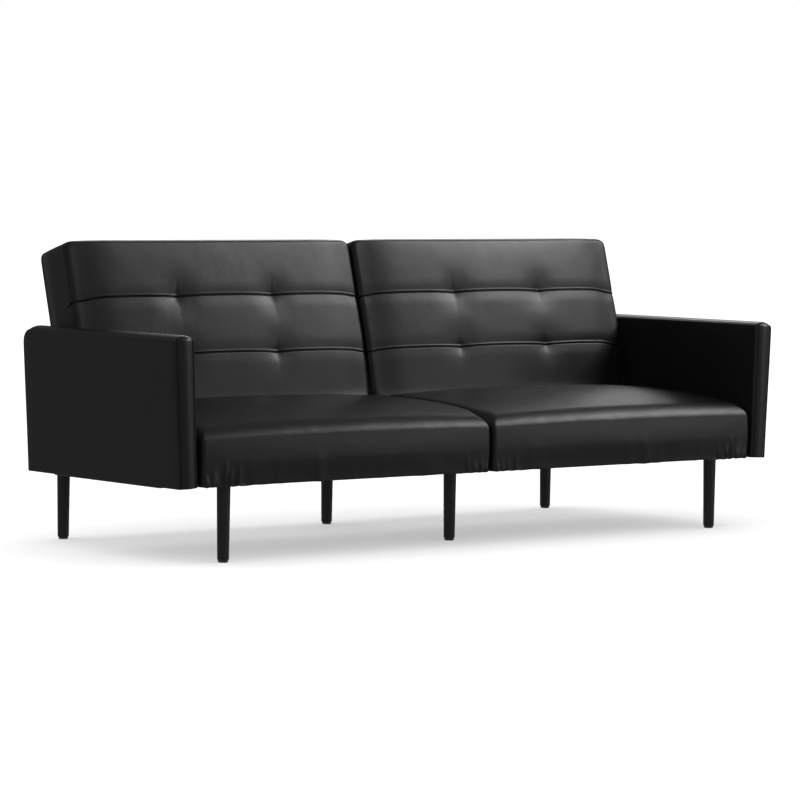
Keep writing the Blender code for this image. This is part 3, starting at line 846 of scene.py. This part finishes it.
def seat_creases(word, x, z, back, low, high, inner, outer):
    """Upright puckers above the hem, and ripples where the top turns over the front edge."""
    chance = np.random.default_rng(PLEAT_SEED[word])
    cut = np.zeros_like(z)
    height = z - low[2]
    pleats = [(outer - gap, 0.0046, 0.0070, tall) for gap, tall in SEAT_OUTER_PLEATS]
    pleats += [(inner + gap, 0.0045, 0.0040, tall) for gap, tall in SEAT_INNER_PLEATS]
    pleats += [(chance.uniform(inner + 0.12, outer - 0.14), chance.uniform(0.010, 0.020),
                chance.uniform(0.0012, 0.0024), chance.uniform(0.06, 0.12)) for _ in range(BROAD_FOLDS)]
    for centre, width, deep, tall in pleats:
        lean = chance.uniform(-0.15, 0.15)
        cut += deep * bell(x - centre - lean * height, width) * (1 - ramp(height, 0.1 * tall, tall))
    over_edge = back + (high[2] - z) - 0.02
    for _ in range(RIPPLES):
        centre = chance.uniform(inner + 0.05, outer - 0.05)
        width = chance.uniform(0.010, 0.022)
        deep = chance.uniform(0.0001, 0.0005)
        slant = chance.uniform(-1.2, 1.2)
        cut -= deep * bell(x - centre - slant * over_edge, width) * bell(over_edge, 0.022)
    return cut


print(len(SEAT_OUTER_PLEATS) + len(SEAT_INNER_PLEATS) + BROAD_FOLDS, "folds along each hem")

# %% Make the seat cushions
def make_seat(word, side):
    """One seat cushion, with a hollow for the rails and springs."""
    low, high = (np.array(c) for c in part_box(f"{word}_seat_cover"))
    inner, outer = sorted((abs(low[0]), abs(high[0])))
    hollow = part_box(f"{word}_seat_foam")[0].z
    rail_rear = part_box(f"{word}_seat_rear_rail")[1].y
    cover = np.array([v.co for v in NODES[f"{word}_seat_cover"].data.vertices])
    rear_hem = cover[cover[:, 1] > rail_rear + 0.001, 2].min()
    gathers = [inner + SEAT_END_ROLL + 0.036, outer - SEAT_END_ROLL - 0.066]
    axes = [lines(inner, outer, SEAT_STEP, SEAT_END_ROLL, gathers, 0.029, 0.0036),
            lines(low[1], high[1], SEAT_DEEP_STEP, SEAT_ROLL),
            lines(low[2], high[2], SEAT_TALL_STEP, SEAT_ROLL)]
    skin = Skin(axes, (2, 0), COVER, hollow)
    x, y, z = skin.rest.T
    outside = ~skin.inner
    skin.roll(SEAT_END_ROLL + (SEAT_ROLL - SEAT_END_ROLL) * (1 - ramp(y - low[1], 0.02, 0.10)))
    skin.round_off(0, 1, {(a, b): SEAT_CORNER for a in (-1, 1) for b in (-1, 1)})

    # behind the last rail the hem is higher, to clear the low rails that run on to the rear
    behind = ramp(y, rail_rear - 0.014, rail_rear)
    at_hem = outside | (skin.spot[:, 2] < low[2] + 1e-6)
    skin.spot[:, 2] += (rear_hem - low[2]) * (1 - (z - low[2]) / (high[2] - low[2])) * behind * at_hem
    back = swell_seat(skin, low, high, inner, outer)
    mirror(skin, side)
    cushion = skin.mesh(f"{word}_seat_cushion", LEATHER, Matrix.Identity(4))

    # the cover is held at its hem and rear, and rests on its neighbours at the ends
    held = 1 - ramp(z, low[2] + 0.004, low[2] + 0.050)
    held = np.maximum(held, ramp(back, 0.36, 0.44))
    ends = np.minimum(x - inner, outer - x)
    held = np.maximum(held, 0.8 * (1 - ramp(ends, 0.0, 0.030)) * ramp(back, 0.03, 0.08))
    held[skin.inner] = 1
    stuff(cushion, held, 0.010, 0.007)
    front = (1 - ramp(back, 0.0, 0.03)) * outside
    cut = seat_creases(word, x, z, back, low, high, inner, outer) * front
    put(cushion, where(cushion) + outward(cushion) * cut[:, None])
    declare(cushion, "seat", 0.85, "base", f"{word}_seat_cover", f"{word}_seat_foam")


for word, side in SIDES.items():
    make_seat(word, side)

# %% [markdown]
# ## The arms
#
# An arm is a board in thin padding. Its cover has two flat sides and one long strip, the boxing, that
# goes up the front, over the top and down the rear. A seam joins the strip to each side, a few
# millimetres in from the edge. The arms lean out a little, so they too are made in a frame of their
# own: Y and Z run along the arm, and X is its thickness, from zero at the outer face.

# %% The arm's frame
def arm_frame(word, side):
    """The frame of an arm: its origin at the foot of the outer face, its Z up along that face."""
    board = NODES[f"{word}_arm_board"].data
    faces = [p for p in board.polygons if abs(p.normal.x) > 0.9]
    largest = max(faces, key=lambda p: p.area)
    lean = np.arctan2(abs(largest.normal.z), abs(largest.normal.x))
    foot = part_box(f"{word}_arm_cover")[0].z
    return lean, Matrix.Translation((0, 0, foot)) @ Matrix.Rotation(side * lean, 4, "Y")


print("the arms lean out by", round(degrees(arm_frame("right", 1)[0]), 2), "degrees")

# %% Pad an arm
ARM_ROLL = 0.007
ARM_TURN = 0.30
ARM_SEAM_IN = 0.0062
ARM_SEAM_DEEP = 0.0030
ARM_DOME = 0.0065
ARM_SIDE_SWELL = 0.0012
ARM_TOP_FULL = 0.0030


def pad_arm(skin, low, high):
    """Dome the strip between its seams, fill the top, and soften the flat sides at their edges."""
    x, y, z = skin.rest.T
    outside = ~skin.inner
    middle = (low[0] + high[0]) / 2
    thick = (high[0] - low[0]) / 2
    aside = np.abs(x - middle)
    outwards = np.sign(x - middle)
    at_front, at_rear, at_top = y < low[1] + 1e-6, y > high[1] - 1e-6, z > high[2] - 1e-6
    edge = np.minimum(np.minimum(y - low[1], high[1] - y), high[2] - z)
    strip = (edge < 1e-6) * outside
    dome = 1 - np.clip(aside / (thick - ARM_SEAM_IN), 0, 1) ** 2
    seam = bell(aside - (thick - ARM_SEAM_IN), 0.0018)
    near_side = np.clip(1 - (thick - aside) / ARM_SEAM_IN, 0, 1) * strip
    out = (ARM_DOME * dome - ARM_SEAM_DEEP * seam) * strip - ARM_ROLL * ARM_TURN * near_side ** 2
    skin.spot[:, 1] += out * np.where(at_rear, 1, 0) - out * np.where(at_front, 1, 0)
    skin.spot[:, 2] += out * np.where(at_top, 1, 0)

    side_face = (aside > thick - 1e-6) * outside
    soft_edge = ramp(edge, 0.0, 0.030) * ramp(z - low[2], 0.0, 0.03)
    turn = np.clip(1 - edge / ARM_ROLL, 0, 1) * side_face
    skin.spot[:, 0] += (x - middle) / thick * ARM_TOP_FULL * ramp(z, 0.05, high[2]) * outside
    skin.spot[:, 0] += outwards * (ARM_SIDE_SWELL * soft_edge * side_face - ARM_ROLL * ARM_TURN * turn ** 2)


print("the strip is domed by", round(ARM_DOME * 1000, 1), "mm")

# %% Make the arm pads
ARM_STEP = 0.0085
ARM_THICK_STEP = 0.006
ARM_FRONT_CORNER = 0.012
ARM_REAR_CORNER = 0.035
ARM_SLACK = 0.0003


def make_arm(word, side):
    """One arm cover, with a hollow for its board."""
    _, place = arm_frame(word, side)
    inverse = place.inverted()
    cover = np.array([inverse @ v.co for v in NODES[f"{word}_arm_cover"].data.vertices])
    board = np.array([inverse @ v.co for v in NODES[f"{word}_arm_board"].data.vertices])
    low, high = cover.min(axis=0), cover.max(axis=0)
    wall = abs(board[:, 1].min() - low[1]) - ARM_SLACK
    floor = board[:, 2].max() + ARM_SLACK
    seams = [low[0] + ARM_SEAM_IN, high[0] - ARM_SEAM_IN]
    axes = [lines(low[0], high[0], ARM_THICK_STEP, ARM_ROLL, seams, 0.0036, 0.0009),
            lines(low[1], high[1], ARM_STEP, ARM_ROLL),
            lines(low[2], high[2], ARM_STEP, ARM_ROLL)]
    skin = Skin(axes, (2, 0), wall, floor)
    pad_arm(skin, low, high)
    skin.round_off(1, 2, {(-1, 1): ARM_FRONT_CORNER, (1, 1): ARM_REAR_CORNER})
    pad = skin.mesh(f"{word}_arm_pad", ARM_LEATHER, place)
    declare(pad, "arm", 0.95, "base", f"{word}_arm_cover")


for word, side in SIDES.items():
    make_arm(word, side)

# %% [markdown]
# ## Floor and room
#
# Black leather shows hardly any light of its own: what is seen is the room, mirrored and blurred. So
# the room has two brightnesses. It is white for the floor, which gives the soft shadow under the
# sofa, and dim in the mirror of the leather, so that the sides stay dark. A Light Path node tells
# the two apart. The floor is left out of reflections for the same reason.

# %% Floor
FLOOR_SIZE = 120


def white_floor():
    """A pale matt floor."""
    g = Graph("white_floor")
    cloud = g.noise(3.0, 2.0)
    g.set(Base_Color=g.mix(cloud, (0.86, 0.86, 0.86), (0.88, 0.88, 0.88)), Roughness=0.7 + cloud * 0.05,
          Specular_IOR_Level=0.0)
    return g.material


bpy.ops.mesh.primitive_plane_add(size=FLOOR_SIZE)
floor = bpy.context.object
floor.name = "floor"
floor.data.materials.append(white_floor())
floor.visible_glossy = False
print("floor", FLOOR_SIZE, "m square")

# %% Room
WALLS = 1.0
WALLS_IN_GLOSS = 0.19


def white_wall(tree, strength):
    """A white background of some strength."""
    wall = tree.nodes.new("ShaderNodeBackground")
    wall.inputs["Color"].default_value = (1, 1, 1, 1)
    wall.inputs["Strength"].default_value = strength
    return wall


world = bpy.data.worlds.new("studio")
bpy.context.scene.world = world
world.use_nodes = True
tree = world.node_tree
choice = tree.nodes.new("ShaderNodeMixShader")
path = tree.nodes.new("ShaderNodeLightPath")
tree.links.new(path.outputs["Is Glossy Ray"], choice.inputs["Fac"])
tree.links.new(white_wall(tree, WALLS).outputs[0], choice.inputs[1])
tree.links.new(white_wall(tree, WALLS_IN_GLOSS).outputs[0], choice.inputs[2])
tree.links.new(choice.outputs[0], tree.nodes["World Output"].inputs["Surface"])
bpy.context.scene.view_settings.view_transform = "Standard"
print("walls", WALLS, "and", WALLS_IN_GLOSS, "where they are mirrored")

# %% [markdown]
# ## Lamps
#
# The lamps are chosen as reflections too. The key stands to the right in front and high up, and is
# what the upper parts of the back show. The seat has a nearer key of its own, so that its front edge
# shines most at the right. A weak, low fill brightens what faces the front. Two rim lamps stand
# behind: one draws the top edges of the back and the arms, the other a soft shine on the front of
# the seat. Light linking gives each lamp its own pieces, and keeps all five off the floor.

# %% Softboxes
def softbox(name, place, target, width, height, power):
    """A square lamp at place that faces target. Sizes in metres, power in watts."""
    lamp = bpy.data.lights.new(name, "AREA")
    lamp.shape = "RECTANGLE"
    lamp.size, lamp.size_y, lamp.energy = width, height, power
    stand = bpy.data.objects.new(name, lamp)
    stand.location = place
    stand.rotation_euler = (Vector(target) - Vector(place)).to_track_quat("-Z", "Y").to_euler()
    bpy.context.scene.collection.objects.link(stand)
    return stand


def lights_only(lamp, *pieces, all_but=False):
    """Let a lamp light only these pieces, or everything else."""
    group = bpy.data.collections.new(f"for_{lamp.name}")
    for piece in pieces:
        group.objects.link(piece)
    if all_but:
        for link in group.collection_objects:
            link.light_linking.link_state = "EXCLUDE"
    lamp.light_linking.receiver_collection = group
    print(lamp.name, "all but" if all_but else "only", [piece.name for piece in pieces])


def cushions(*kinds):
    """The soft pieces of some kinds, on both sides."""
    return [bpy.data.objects[f"{word}_{kind}"] for word in SIDES for kind in kinds]


key = softbox("key", (3.8, -1.8, 3.35), (0.3, 0, 0.5), 1.6, 1.6, 132)
lights_only(key, floor, *cushions("seat_cushion"), all_but=True)
seat_key = softbox("seat_key", (2.4, -1.3, 2.2), (0.6, -0.3, 0.35), 1.0, 1.0, 40)
lights_only(seat_key, *cushions("seat_cushion"))
fill = softbox("fill", (4.2, -4.6, 1.0), (0.8, -0.4, 0.4), 1.5, 1.2, 23)
lights_only(fill, floor, all_but=True)
rim = softbox("rim", (2.4, 2.6, 2.8), (0, 0, 0.6), 2.4, 0.8, 45)
lights_only(rim, *cushions("back_cushion", "arm_pad"))
seat_rim = softbox("seat_rim", (2.6, 1.75, 1.9), (0.7, -0.28, 0.37), 1.0, 0.6, 6)
lights_only(seat_rim, *cushions("seat_cushion"))

# %% A lift for the floor
FLOOR_LIFT = 1.25

lamp = bpy.data.lights.new("floor_lift", "SUN")
lamp.energy, lamp.angle = FLOOR_LIFT, radians(1)
lift = bpy.data.objects.new("floor_lift", lamp)
lights_only(lift, floor)
# only the floor itself could cast a shadow from this sun, so the sofa casts none
lift.light_linking.blocker_collection = lift.light_linking.receiver_collection
bpy.context.scene.collection.objects.link(lift)
